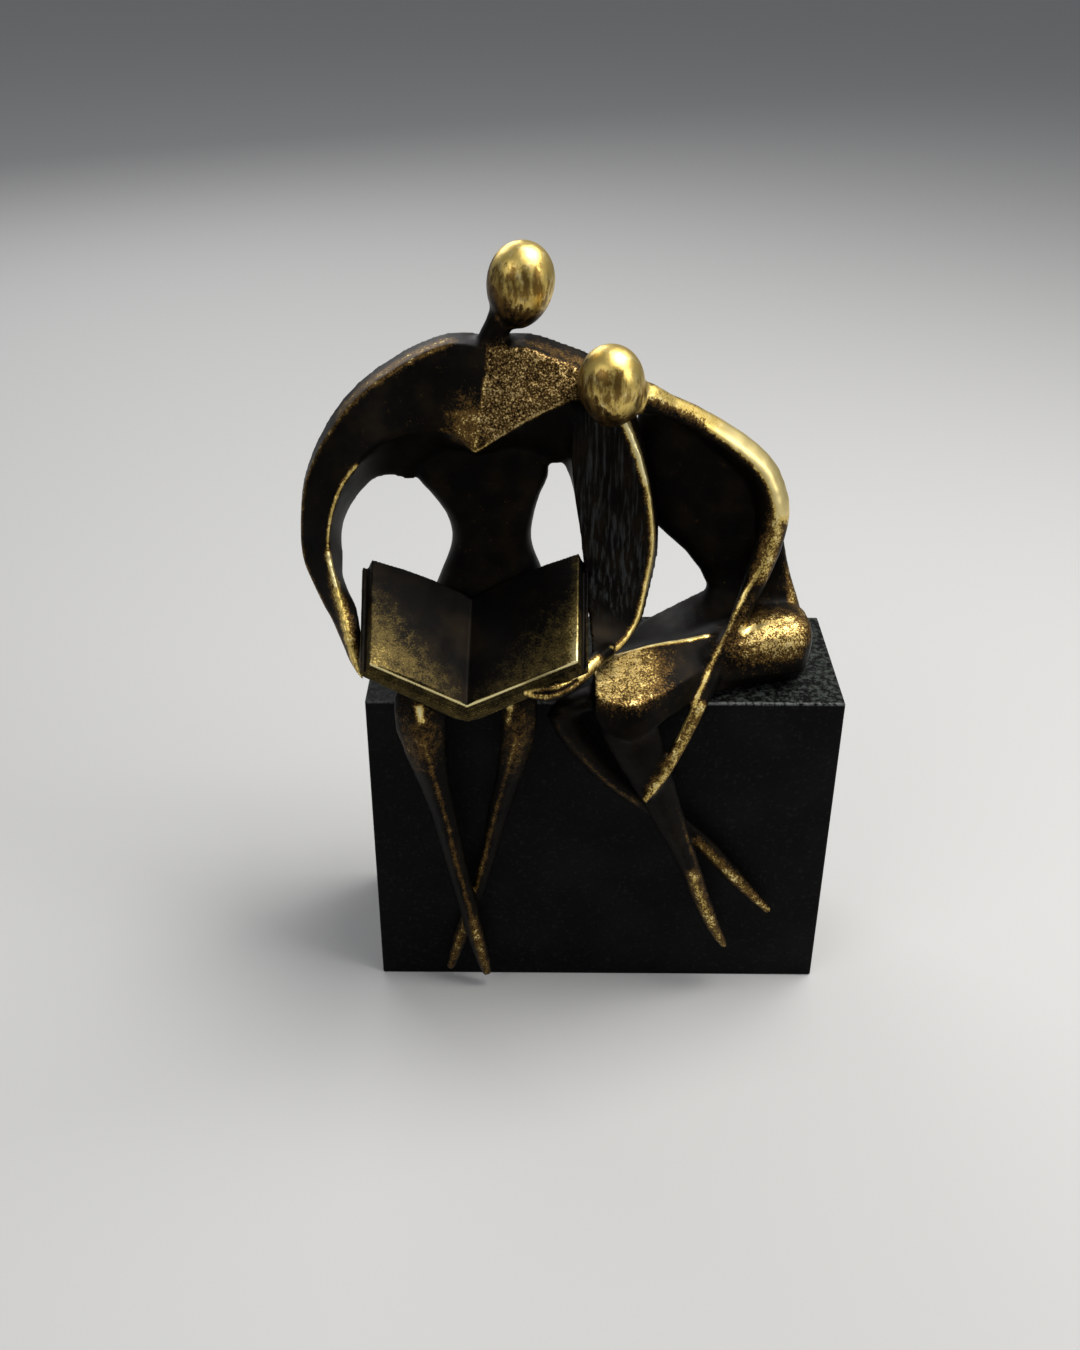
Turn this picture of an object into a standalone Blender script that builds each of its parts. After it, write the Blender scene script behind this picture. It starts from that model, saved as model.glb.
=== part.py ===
"""Seated couple on a bench block, the reader with an open book.

Metres, +Z up, -Y is the front. The origin is the middle of the bench underside.
"""
import math

import bmesh
import bpy
from mathutils import Matrix, Vector

# Driving dimensions
bench_width = 0.152
bench_depth = 0.057
bench_height = 0.114
bench_edge = 0.0006
joint_gap = 0.0003

# Seat to the crown of the reader's head. The station tables are in shares of it, 136 to the whole height.
figure_height = 0.136
share = figure_height / 136

# Book: its near and far ends are measured from the bench front, and the slope is that of its two page blocks
book_thickness = 0.0056
cover_lip = 0.0014
cover_thickness = 0.0015
book_page_curve = 0.0011
book_near_end = -0.0145
book_far_end = 0.0195
book_rise = 0.53
book_slope = 1.15

# Egg heads: half width, half depth, half height
reader_head_size = (0.0100, 0.0100, 0.0130)
leaning_head_size = (0.0099, 0.0102, 0.0126)

for old in list(bpy.data.objects):
    bpy.data.objects.remove(old, do_unlink=True)

sculpture = bpy.data.collections.new("seated_couple_sculpture")
bpy.context.scene.collection.children.link(sculpture)
cutters = bpy.data.collections.new("cutters")
bpy.context.scene.collection.children.link(cutters)


# Station tables: x from the bench middle, d behind the front face, h above the bench top
def seat_point(x, d, h):
    return Vector((x * share, -bench_depth / 2 + d * share, bench_height + h * share))


# Legs hang in front of the bench: t runs from 0 at the bench top to 1 at the floor.
def leg_point(x, d, t):
    return Vector((x * share, -bench_depth / 2 + d * share, bench_height * (1 - t)))


def spline(keys, steps):
    """Smooth points through the keys, with the given steps in each span."""
    out = []
    for i in range(len(keys) - 1):
        a = keys[max(i - 1, 0)]
        b = keys[i]
        c = keys[i + 1]
        e = keys[min(i + 2, len(keys) - 1)]
        for s in range(steps):
            t = s / steps
            out.append(
                b
                + (c - a) * (0.5 * t)
                + (a - b * 2.5 + c * 2 - e * 0.5) * t**2
                + (b * 1.5 - a * 0.5 - c * 1.5 + e * 0.5) * t**3
            )
    out.append(keys[-1].copy())
    return out


def loft(name, rings, home=None):
    """One closed body through rings that all have the same number of points."""
    bm = bmesh.new()
    rows = []
    for ring in rings:
        rows.append([bm.verts.new(p) for p in ring])
    count = len(rings[0])
    for low, high in zip(rows, rows[1:]):
        for i in range(count):
            j = (i + 1) % count
            bm.faces.new((low[i], low[j], high[j], high[i]))
    bm.faces.new(rows[0])
    bm.faces.new(rows[-1])
    bm.normal_update()
    bmesh.ops.triangulate(bm, faces=bm.faces[:])
    bmesh.ops.recalc_face_normals(bm, faces=bm.faces[:])
    mesh = bpy.data.meshes.new(name)
    bm.to_mesh(mesh)
    bm.free()
    obj = bpy.data.objects.new(name, mesh)
    (home or sculpture).objects.link(obj)
    return obj


def facet_rings(stations, steps):
    """Rings of faceted sections whose corners follow smooth lines."""
    lines = [spline(list(corner), steps) for corner in zip(*stations)]
    return [list(ring) for ring in zip(*lines)]


def oval(centre, across, along, half_w, half_t, power, count):
    """Ring of points on a rounded section, power 2 is an ellipse and less is sharper."""
    ring = []
    for i in range(count):
        a = 2 * math.pi * i / count
        c = math.cos(a)
        s = math.sin(a)
        u = math.copysign(abs(c) ** (2 / power), c) * half_w
        v = math.copysign(abs(s) ** (2 / power), s) * half_t
        ring.append(centre + across * u + along * v)
    return ring


def sweep(name, stations, side, power, count, steps):
    """Rounded section carried along a line: each station is a point, a half width and a half thickness."""
    points = spline([s[0] for s in stations], steps)
    widths = spline([Vector((s[1] * share, s[2] * share, 0)) for s in stations], steps)
    side = Vector(side).normalized()
    rings = []
    for i, centre in enumerate(points):
        ahead = points[min(i + 1, len(points) - 1)]
        behind = points[max(i - 1, 0)]
        run = (ahead - behind).normalized()
        across = (side - run * side.dot(run)).normalized()
        along = run.cross(across)
        rings.append(oval(centre, across, along, widths[i].x, widths[i].y, power, count))
    return loft(name, rings)


def egg(name, centre, half, tilt_deg, nod_deg, home=None):
    """Egg head: a sphere stretched to the three half sizes and leaned over."""
    bm = bmesh.new()
    bmesh.ops.create_uvsphere(bm, u_segments=24, v_segments=16, radius=1.0)
    for v in bm.verts:
        taper = 1 + 0.08 * v.co.z
        v.co = Vector((v.co.x * half[0] * taper, v.co.y * half[1] * taper, v.co.z * half[2]))
    turn = Matrix.Rotation(math.radians(tilt_deg), 4, "Y") @ Matrix.Rotation(math.radians(nod_deg), 4, "X")
    bmesh.ops.transform(bm, matrix=Matrix.Translation(centre) @ turn, verts=bm.verts[:])
    bmesh.ops.triangulate(bm, faces=bm.faces[:])
    mesh = bpy.data.meshes.new(name)
    bm.to_mesh(mesh)
    bm.free()
    obj = bpy.data.objects.new(name, mesh)
    (home or sculpture).objects.link(obj)
    return obj


def apply_modifiers(obj):
    graph = bpy.context.evaluated_depsgraph_get()
    mesh = bpy.data.meshes.new_from_object(obj.evaluated_get(graph))
    old = obj.data
    obj.modifiers.clear()
    obj.data = mesh
    bpy.data.meshes.remove(old)


def combine(obj, others, operation):
    """Join or cut with the exact solver, one body at a time."""
    for other in others:
        mod = obj.modifiers.new(operation.lower(), "BOOLEAN")
        mod.operation = operation
        mod.solver = "EXACT"
        mod.object = other
        apply_modifiers(obj)
        if operation == "UNION":
            bpy.data.objects.remove(other, do_unlink=True)


def finish(obj, name, colour, metallic, roughness, smooth):
    """Weld, triangulate, shade and give the body its own material."""
    bm = bmesh.new()
    bm.from_mesh(obj.data)
    bmesh.ops.remove_doubles(bm, verts=bm.verts[:], dist=0.000002)
    bmesh.ops.dissolve_degenerate(bm, edges=bm.edges[:], dist=0.000002)
    bmesh.ops.triangulate(bm, faces=bm.faces[:])
    bmesh.ops.recalc_face_normals(bm, faces=bm.faces[:])
    bm.to_mesh(obj.data)
    bm.free()
    obj.name = name
    obj.data.name = name
    for poly in obj.data.polygons:
        poly.use_smooth = smooth
    mat = bpy.data.materials.new(name + "_finish")
    mat.use_nodes = True
    shader = mat.node_tree.nodes["Principled BSDF"]
    shader.inputs["Base Color"].default_value = (*colour, 1)
    shader.inputs["Metallic"].default_value = metallic
    shader.inputs["Roughness"].default_value = roughness
    obj.data.materials.clear()
    obj.data.materials.append(mat)


# Bench block
bm = bmesh.new()
bmesh.ops.create_cube(bm, size=1.0)
for v in bm.verts:
    v.co = Vector((v.co.x * bench_width, v.co.y * bench_depth, (v.co.z + 0.5) * bench_height))
bench_mesh = bpy.data.meshes.new("bench")
bm.to_mesh(bench_mesh)
bm.free()
bench = bpy.data.objects.new("bench", bench_mesh)
sculpture.objects.link(bench)
edge = bench.modifiers.new("edge", "BEVEL")
edge.width = bench_edge
edge.segments = 2
apply_modifiers(bench)
finish(bench, "bench_block", (0.012, 0.012, 0.012), 0.2, 0.45, False)

# Lowest height of anything that sits on the bench, in table shares
seat = joint_gap / share


# Open book: a V of two page blocks on a cover, lower at the near end
def book_outline(left, gutter, right, lift):
    """Section of the book. Left, gutter and right are (x, h) on the page surface."""
    lx, lh = left
    gx, gh = gutter
    rx, rh = right
    drop = book_thickness / share
    cover = cover_thickness / share
    lip = cover_lip / share
    page = drop - cover
    ring = [(lx, lh)]
    for t in (0.3, 0.6, 0.85):
        ring.append((lx + (gx - lx) * t, lh + (gh - lh) * t + lift * math.sin(math.pi * t)))
    ring.append((gx, gh))
    for t in (0.15, 0.4, 0.7):
        ring.append((gx + (rx - gx) * t, gh + (rh - gh) * t + lift * math.sin(math.pi * t)))
    ring.append((rx, rh))
    ring.append((rx + page * 0.38, rh - page * 0.8))
    ring.append((rx + page * 0.38 + lip, rh - page * 0.8 + lip * 0.4))
    ring.append((rx + page * 0.38 + lip + 0.5, rh - page * 0.8 + lip * 0.4 - cover))
    ring.append((gx + 4, gh - drop + 0.7))
    ring.append((gx, gh - drop - 0.4))
    ring.append((gx - 4, gh - drop + 0.7))
    ring.append((lx - page * 0.38 - lip - 0.5, lh - page * 0.8 + lip * 0.4 - cover))
    ring.append((lx - page * 0.38 - lip, lh - page * 0.8 + lip * 0.4))
    ring.append((lx - page * 0.38, lh - page * 0.8))
    return ring


def outset(outline, gap):
    """The same outline with every side moved outwards by the gap. It runs clockwise seen from the front."""
    out = []
    for i, (x, h) in enumerate(outline):
        px, ph = outline[i - 1]
        nx, nh = outline[(i + 1) % len(outline)]
        before = Vector((ph - h, x - px)).normalized()
        after = Vector((h - nh, nx - x)).normalized()
        move = (before + after) * (gap / (1 + before.dot(after)))
        out.append((x + move.x, h + move.y))
    return out


def book_body(name, clearance, home=None):
    """The book, pushed out on every side by the clearance."""
    gap = clearance / share
    lift = book_page_curve / share
    near = outset(book_outline((-71.6, 22.3), (-42.8, 7.6), (-9.4, 23.6), lift), gap * book_slope)
    far = outset(book_outline((-73.4, 40.3), (-42.4, 27.0), (-8.8, 42.8), lift), gap * book_slope)
    rings = [
        [seat_point(x, book_near_end / share - gap, h - gap * book_rise) for x, h in near],
        [seat_point(x, book_far_end / share + gap, h + gap * book_rise) for x, h in far],
    ]
    return loft(name, rings, home)


book = book_body("book", 0)
book_cut = book_body("book_cut", joint_gap, cutters)


# Reader: crescent of shoulders and arms.
# Corners of each section: back crest, front crest, front ridge, inner edge, inner back edge.
def sections(table):
    return [[seat_point(*corner) for corner in row] for row in table]


chest_middle = ((-36, 37.5, 106.8), (-35.6, 26, 105.4), (-40.6, 15.2, 77.4), (-40, 30, 72), (-38, 37, 80))
left_arm = [
    chest_middle,
    ((-48.6, 37.5, 107.4), (-48, 28.5, 106.4), (-47.2, 19.6, 82.4), (-50, 29, 70), (-50, 36.5, 76)),
    ((-59.5, 37.5, 103.2), (-58.7, 27.8, 102.2), (-55.2, 20.6, 83.2), (-59.5, 28.5, 63.6), (-59.5, 36.5, 69)),
    ((-67.2, 37.5, 98.6), (-66.9, 27.2, 97.4), (-62.3, 20, 81.8), (-66.3, 28.5, 64.6), (-66.3, 36, 68)),
    ((-74.8, 36.5, 93.2), (-74.4, 26.5, 92), (-68.2, 18.5, 79.4), (-71.8, 28.5, 63.8), (-72, 35.5, 66.4)),
    ((-82.8, 35.5, 85.2), (-81.6, 26, 84.6), (-72.2, 18.5, 76.6), (-75.8, 27.5, 60.6), (-76.2, 34.2, 62.6)),
    ((-89.3, 34.5, 75.1), (-88, 25.5, 75.4), (-76.2, 17.5, 72.2), (-79.8, 26.5, 55.4), (-80.4, 32.5, 57)),
    ((-93.7, 32.5, 65.3), (-92.4, 24.5, 66.4), (-80.2, 16.5, 67.2), (-82.2, 24.5, 50.6), (-83.2, 30.5, 51.6)),
    ((-95.8, 30.5, 56), (-94.5, 22.5, 57.6), (-83.8, 15, 59.4), (-82.8, 22, 46.4), (-84.2, 28, 46.8)),
    ((-96.3, 26.5, 45.1), (-95.2, 19.5, 47.2), (-85.6, 12.5, 50.2), (-82.4, 19, 41), (-84.4, 24, 41)),
    ((-94.8, 22.5, 38.6), (-94, 16, 40.6), (-85.2, 10.5, 45.2), (-82.2, 15.5, 36.6), (-84, 20, 36)),
    ((-91.8, 18.5, 33.4), (-91.2, 12.5, 35.2), (-83.8, 7.5, 39.4), (-80.2, 11.4, 33.2), (-81.6, 15.8, 31.8)),
    ((-88.4, 14.5, 28.2), (-88, 9, 29.6), (-82.4, 4.6, 33.2), (-77.8, 7.8, 30), (-79, 12, 28.2)),
    ((-85.2, 10.5, 24), (-84.8, 5.5, 25.2), (-81.2, 1.8, 28), (-76.6, 4.2, 26.8), (-77.6, 8.2, 25)),
    ((-82.2, 6.2, 18.8), (-82, 1.8, 19.8), (-79.8, -1.4, 22.4), (-75.8, 0.8, 22.2), (-76.4, 4.4, 20.4)),
    ((-79.6, 0.8, 14.6), (-79.4, -2, 15.4), (-78, -4, 17.4), (-74.8, -2.8, 16.8), (-75.2, -0.6, 15.4)),
    ((-75.6, -7.8, 13.4), (-75.6, -8.6, 13.6), (-75.2, -9.4, 14), (-74.8, -8.8, 13.2), (-75, -8, 12.8)),
]
right_arm = [
    chest_middle,
    ((-24.6, 37.5, 107.6), (-26.2, 27.5, 106), (-31.7, 16.6, 82.9), (-30, 29.5, 72), (-27, 36.5, 77)),
    ((-15.2, 37.5, 104.7), (-17.6, 27.5, 102.5), (-22.2, 19.5, 87.9), (-22, 29.5, 68.4), (-20, 36.5, 72)),
    ((-6.1, 37.5, 101.3), (-9.6, 27.5, 99), (-13.6, 21.5, 91.6), (-16.4, 29.5, 68.4), (-15, 36.5, 71)),
    ((0.8, 36.5, 95.5), (-2.6, 27.5, 94.2), (-10.8, 22, 85.4), (-13.8, 28.5, 68.6), (-12.4, 35.5, 70)),
    ((7, 35, 87), (3.6, 27.2, 86.2), (-11.4, 22.2, 76), (-12.2, 26.5, 66.4), (-11.4, 34, 66)),
    ((11.4, 33, 74.8), (8.6, 26.5, 75.2), (-10.9, 21.8, 67.4), (-10.8, 25.5, 62), (-10.2, 32.4, 61)),
    ((14, 31, 62.3), (12.2, 25.5, 64.4), (-9.9, 20.6, 59), (-9.6, 24.4, 56.6), (-9, 30.8, 56)),
    ((15.9, 29, 52.3), (13.9, 24.4, 54.6), (-8.4, 19, 49.6), (-8, 23, 48), (-7.4, 29, 47.4)),
    ((16.5, 26, 41.9), (14.7, 22.2, 44), (-7.2, 16.2, 40), (-6.6, 20.4, 38.4), (-6, 26, 37.6)),
    ((14.7, 21.8, 31.9), (13.2, 18.4, 34), (-6.2, 12.6, 31.4), (-5.6, 16.4, 29.6), (-5, 21.8, 28.6)),
    ((12, 16.2, 22.6), (10.8, 13.2, 24.4), (-5.4, 8.4, 24.4), (-4.8, 11.6, 22.6), (-4, 16.4, 20.8)),
    ((8.8, 11.4, 18.4), (7.8, 8.8, 19.6), (-4.9, 4, 21.4), (-4.4, 6.4, 19.4), (-3.6, 10.8, 17.4)),
    ((4.4, 5.8, 16.4), (3.8, 3.6, 17.4), (-4.6, -0.4, 20.2), (-4.6, 1.6, 18), (-3.8, 5.2, 16.2)),
    ((-1.4, -1.4, 15.8), (-1.6, -3, 16.6), (-5, -5.2, 18.4), (-5.2, -3.8, 16.6), (-4.4, -2, 15.6)),
]
left_rings = facet_rings(sections(left_arm), 3)
right_rings = facet_rings(sections(right_arm), 3)
reader = loft("reader", left_rings[:0:-1] + right_rings)

# Reader: torso, horizontal sections from the seat to under the chest
torso_table = [
    (-37, 26.5, seat, 26, 17),
    (-37, 26.5, 6, 26.5, 16.5),
    (-37, 27, 14, 25, 14),
    (-36.8, 27.5, 22, 20.5, 11.5),
    (-36.5, 28, 28, 17.6, 10),
    (-36.2, 28, 34, 15.6, 9),
    (-36.2, 28.4, 40, 13.3, 8.0),
    (-36.2, 28.5, 46, 12.5, 7.5),
    (-36.6, 28.6, 53, 14.0, 7.3),
    (-38, 29.3, 59.4, 17.4, 7.0),
    (-39.0, 30, 64.4, 20.6, 6.5),
    (-39, 30.5, 70, 20.0, 5.7),
    (-38.6, 31, 80, 14, 4.6),
]
torso_centres = spline([seat_point(x, d, h) for x, d, h, half_w, half_t in torso_table], 2)
torso_halves = spline([Vector((half_w, half_t, 0)) for x, d, h, half_w, half_t in torso_table], 2)
torso_rings = []
sideways = Vector((share, 0, 0))
backwards = Vector((0, share, 0))
for centre, half in zip(torso_centres, torso_halves):
    torso_rings.append(oval(centre, sideways, backwards, half.x, half.y, 2.2, 24))
torso = loft("torso", torso_rings)

# Reader: neck, and the head that grows from its top
neck_top = seat_point(-33.6, 32.2, 111)
head_across, head_deep, head_tall = reader_head_size
neck = sweep(
    "neck",
    [
        (seat_point(-36.8, 31.5, 98), 5.4, 4.6),
        (seat_point(-36.0, 31.8, 105), 4.6, 4.2),
        (neck_top, 4.0, 3.9),
        (neck_top + Vector((head_across * 0.26, head_deep * 0.03, head_tall * 0.46)), 4.6, 4.6),
    ],
    (1, 0, 0), 2.0, 14, 2,
)
reader_head_centre = neck_top + Vector((head_across * 0.66, head_deep * 0.03, head_tall * 0.923))
reader_head = egg("reader_head", reader_head_centre, reader_head_size, 9, 4)


# Reader: fingers that curl under the near right edge of the book
fingers = sweep(
    "fingers",
    [
        (seat_point(1.4, 2.2, 18.0), 2.4, 2.2),
        (seat_point(-3.2, -3.4, 17.4), 2.3, 2.2),
        (seat_point(-8.4, -10.2, 15.6), 2.5, 2.2),
        (seat_point(-13.6, -14.8, 14.0), 2.8, 2.2),
        (seat_point(-19.4, -16.6, 13.2), 2.6, 1.8),
        (seat_point(-25.6, -16.6, 13.8), 0.9, 0.8),
    ],
    (0, 0, 1), 1.8, 12, 2,
)


# Reader: thighs, knees and shins
def leg(name, thigh, shin):
    upper = sweep(name + "_thigh", thigh, (1, 0, 0), 2.2, 14, 2)
    lower = sweep(name + "_shin", shin, (1, 0, 0), 1.35, 12, 2)
    return [upper, lower]


reader_legs = leg(
    "left",
    [
        (seat_point(-50, 24, 10.0), 10.5, 9.6),
        (seat_point(-53, 12, 10.4), 10.0, 10.0),
        (seat_point(-56, 0, 9.2), 9.2, 8.8),
        (seat_point(-57, -8.2, 7.4), 8.0, 6.4),
    ],
    [
        (leg_point(-56.6, -8.2, -0.105), 7.2, 3.6),
        (leg_point(-57, -10.0, -0.06), 8.5, 4.8),
        (leg_point(-57.4, -10.8, 0.03), 8.0, 4.8),
        (leg_point(-55.0, -9.4, 0.18), 5.6, 4.2),
        (leg_point(-51.6, -8.0, 0.33), 4.2, 3.6),
        (leg_point(-48.4, -7.6, 0.50), 3.6, 3.2),
        (leg_point(-45.0, -7.2, 0.66), 3.3, 3.0),
        (leg_point(-41.6, -6.8, 0.82), 3.2, 2.8),
        (leg_point(-38.6, -6.2, 0.95), 1.6, 1.6),
    ],
) + leg(
    "right",
    [
        (seat_point(-26, 24, 10.0), 10.0, 9.6),
        (seat_point(-27, 12, 10.4), 9.2, 10.0),
        (seat_point(-27, 0, 9.2), 7.6, 8.6),
        (seat_point(-27, -8, 7.2), 5.8, 6.2),
    ],
    [
        (leg_point(-27, -8.0, -0.10), 5.2, 3.6),
        (leg_point(-27, -9.8, -0.06), 5.9, 4.6),
        (leg_point(-27.1, -10.6, 0.03), 5.6, 4.6),
        (leg_point(-30.0, -8.6, 0.18), 4.4, 3.8),
        (leg_point(-33.8, -6.4, 0.33), 3.6, 3.0),
        (leg_point(-37.6, -4.4, 0.50), 3.0, 2.4),
        (leg_point(-42.2, -3.6, 0.66), 2.8, 2.2),
        (leg_point(-47.6, -3.6, 0.82), 2.8, 2.2),
        (leg_point(-51.8, -3.4, 0.95), 1.4, 1.4),
    ],
)
combine(reader, [torso, neck, reader_head, fingers] + reader_legs, "UNION")

# Leaning figure: head, then one arm from the head over the shoulder to the blade of the forearm
leaning_head_centre = seat_point(-0.2, 18.0, 97.6)
leaning = egg("leaning_head", leaning_head_centre, leaning_head_size, -4, 10)
long_arm = sweep(
    "long_arm",
    [
        (seat_point(4.0, 18.5, 96.0), 5.0, 5.4),
        (seat_point(11.4, 20.5, 93.2), 4.2, 5.0),
        (seat_point(17.5, 23.0, 89.6), 3.4, 4.6),
        (seat_point(25.0, 25.5, 85.4), 3.5, 4.8),
        (seat_point(34.4, 28.0, 78.6), 4.2, 5.4),
        (seat_point(42.6, 29.0, 71.8), 4.8, 5.8),
        (seat_point(48.4, 29.0, 65.0), 5.1, 6.0),
        (seat_point(51.6, 28.0, 57.0), 5.1, 6.0),
        (seat_point(52.0, 26.5, 49.6), 4.9, 5.6),
        (seat_point(50.2, 23.5, 42.0), 4.5, 5.0),
        (seat_point(47.6, 20.5, 35.0), 3.9, 4.4),
        (seat_point(44.6, 17.0, 28.4), 3.1, 3.8),
        (seat_point(40.2, 11.0, 19.2), 2.5, 3.2),
        (seat_point(34.7, 3.8, 10.2), 2.3, 2.8),
        (seat_point(29.5, -4.4, 2.4), 2.2, 2.6),
        (seat_point(23.4, -10.8, -8.4), 2.2, 2.4),
        (seat_point(18.0, -14.8, -17.2), 2.0, 2.2),
        (seat_point(12.4, -16.6, -26.0), 1.1, 1.4),
    ],
    (0.75, -0.1, 0.66), 1.7, 14, 2,
)

# Leaning figure: thin torso from the seat up to the shoulder line.
# Each row: height, left edge x, right edge x, front depth at left and right, thickness.
panel_table = [
    (seat, 23, 65.4, 11, 10, 24),
    (6.5, 22, 65.8, 12, 11, 23.4),
    (13, 25, 65.2, 17, 15, 19),
    (19.5, 31, 63.8, 23, 20, 14),
    (25, 33.6, 61.9, 27.6, 24.0, 10.6),
    (30, 31, 60.2, 30.5, 26.5, 9),
    (36, 26, 58.4, 31.5, 27, 8.4),
    (44, 17, 56.4, 33, 27.5, 8),
    (51, 9, 55.4, 34.5, 28, 7.6),
    (58, 5.5, 54.8, 35, 27.5, 7.4),
    (65, 5, 51, 35, 27.5, 7.2),
    (71, 6, 44.5, 34.6, 27.6, 7),
    (78, 8.6, 36, 35.4, 26.6, 6.6),
    (83, 9.6, 29, 35.4, 25, 6),
    (87, 11.6, 24.4, 32, 24.4, 4.6),
]
panel_rings = []
for h, left, right, front_left, front_right, thick in panel_table:
    lead = seat_point(left, front_left + thick / 2, h)
    trail = seat_point(right, front_right + thick / 2, h)
    reach = (trail - lead) / 2
    panel_rings.append(oval((lead + trail) / 2, reach, backwards, 1.0, thick / 2, 2.4, 20))
panel = loft("panel", panel_rings)

# Leaning figure: hip, crossed thighs and shins
hip = sweep(
    "hip",
    [
        (seat_point(64.8, 20, 11.4), 6.0, 6.0),
        (seat_point(63.2, 19.8, 11.6), 10.4, 10.0),
        (seat_point(58.4, 19.2, 12.0), 13.0, 11.4),
        (seat_point(50, 18.2, 11.6), 13.6, 11.0),
        (seat_point(40, 16.2, 9.8), 13.2, 9.2),
        (seat_point(28, 12.6, 8.2), 11.0, 7.6),
    ],
    (0, 1, 0), 2.5, 18, 2,
)
# Sections of the upper thigh and lap, at each x:
# low front, knee brow, ridge, fold behind the ridge, high back, low back, bench edge
lap_table = [
    (-3.8, (-13.6, 3.6), (-12.0, 10.4), (3.0, 13.4), (4.2, 12.8), (5.0, 12.2), (4.4, 4.0), (-6.0, 3.0)),
    (1.0, (-17.4, -1.6), (-15.4, 9.4), (5.4, 14.0), (7.6, 13.0), (10.0, 13.0), (10.0, 2.0), (-1.4, 1.2)),
    (7.0, (-18.4, -3.0), (-16.4, 8.8), (6.4, 15.0), (10.6, 13.3), (18.0, 14.2), (20.0, 1.0), (-1.0, 0.8)),
    (13.0, (-16.2, -1.0), (-13.6, 9.6), (8.0, 16.1), (12.6, 14.2), (27.5, 14.6), (31.0, 0.8), (-1.0, 0.8)),
    (19.0, (-11.2, 1.4), (-8.6, 9.8), (9.2, 16.7), (14.2, 14.6), (32.4, 15.4), (35.0, 0.5), (-1.0, 0.9)),
    (26.0, (-5.4, 2.0), (-2.6, 10.4), (10.2, 17.6), (15.6, 15.4), (33.4, 18.8), (37.0, 0.5), (2.0, 0.9)),
    (33.0, (0.4, 2.4), (3.2, 11.2), (12.0, 18.3), (17.4, 16.2), (33.6, 23.0), (37.6, 0.5), (5.0, 0.9)),
    (40.0, (4.6, 2.6), (6.6, 12.0), (14.6, 18.8), (19.8, 17.2), (33.0, 23.6), (37.6, 0.5), (8.0, 0.9)),
    (48.0, (7.2, 2.8), (8.6, 12.6), (16.4, 19.6), (22.0, 18.0), (32.0, 20.0), (36.0, 0.5), (10.0, 0.9)),
]
lap_sections = [[seat_point(x, d, h) for d, h in corners] for x, *corners in lap_table]
thigh_a = loft("thigh_a", facet_rings(lap_sections, 2))
thigh_b = sweep(
    "thigh_b",
    [
        (seat_point(34, 18, 6.4), 8.0, 5.6),
        (seat_point(18, 10, 5.0), 7.4, 4.4),
        (seat_point(4, 0, 4.6), 6.6, 4.0),
        (seat_point(-8, -5.0, 3.4), 5.0, 3.6),
        (seat_point(-13.6, -7.0, 1.8), 4.2, 3.2),
        (seat_point(-16.4, -7.8, 0.4), 2.0, 2.0),
    ],
    (0.5, 0.85, 0), 2.0, 14, 2,
)
shin_a = sweep(
    "shin_a",
    [
        (leg_point(4.6, -9.6, -0.07), 8.6, 6.0),
        (leg_point(7.4, -12.6, 0.02), 8.8, 5.2),
        (leg_point(12.8, -12.4, 0.14), 7.4, 4.4),
        (leg_point(18.2, -11.0, 0.26), 6.0, 3.8),
        (leg_point(23.4, -10.0, 0.38), 4.6, 3.4),
        (leg_point(28.8, -8.8, 0.50), 3.6, 3.2),
        (leg_point(33.4, -8.0, 0.62), 3.2, 2.8),
        (leg_point(38.6, -7.4, 0.74), 2.6, 2.4),
        (leg_point(43.4, -6.6, 0.83), 1.3, 1.4),
    ],
    (1, 0, 0), 1.4, 12, 2,
)
shin_b = sweep(
    "shin_b",
    [
        (leg_point(-14.4, -8.0, -0.02), 4.6, 4.2),
        (leg_point(-10.2, -8.0, 0.06), 4.6, 4.0),
        (leg_point(0.6, -6.6, 0.19), 4.4, 3.4),
        (leg_point(12.0, -5.2, 0.29), 4.0, 2.9),
        (leg_point(24.0, -4.4, 0.38), 3.6, 2.6),
        (leg_point(35.9, -4.2, 0.48), 3.2, 2.5),
        (leg_point(46.8, -4.2, 0.60), 2.8, 2.3),
        (leg_point(57.8, -4.2, 0.71), 1.3, 1.3),
    ],
    (0.62, 0, 0.78), 1.5, 12, 2,
)
combine(leaning, [long_arm, panel, hip, thigh_a, thigh_b, shin_a, shin_b], "UNION")

# The book rests on the reader, and the leaning head rests in a shallow seat in the reader's shoulder
head_cut_size = [half + joint_gap for half in leaning_head_size]
head_cut = egg("head_cut", leaning_head_centre, head_cut_size, -4, 10, cutters)
for cutter in (book_cut, head_cut):
    cutter.hide_render = True
    cutter.display_type = "WIRE"
combine(reader, [book_cut, head_cut], "DIFFERENCE")
combine(leaning, [book_cut], "DIFFERENCE")

finish(book, "open_book", (0.10, 0.08, 0.04), 0.7, 0.45, False)
finish(reader, "reader_figure", (0.06, 0.045, 0.02), 0.8, 0.42, True)
finish(leaning, "leaning_figure", (0.07, 0.05, 0.022), 0.8, 0.4, True)
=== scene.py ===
"""Seated couple sculpture: dark patina with dry-brushed gold, on a black bench block."""
import math

import bmesh
import bpy
import numpy as np
from mathutils import Matrix, Vector, kdtree, noise


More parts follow.
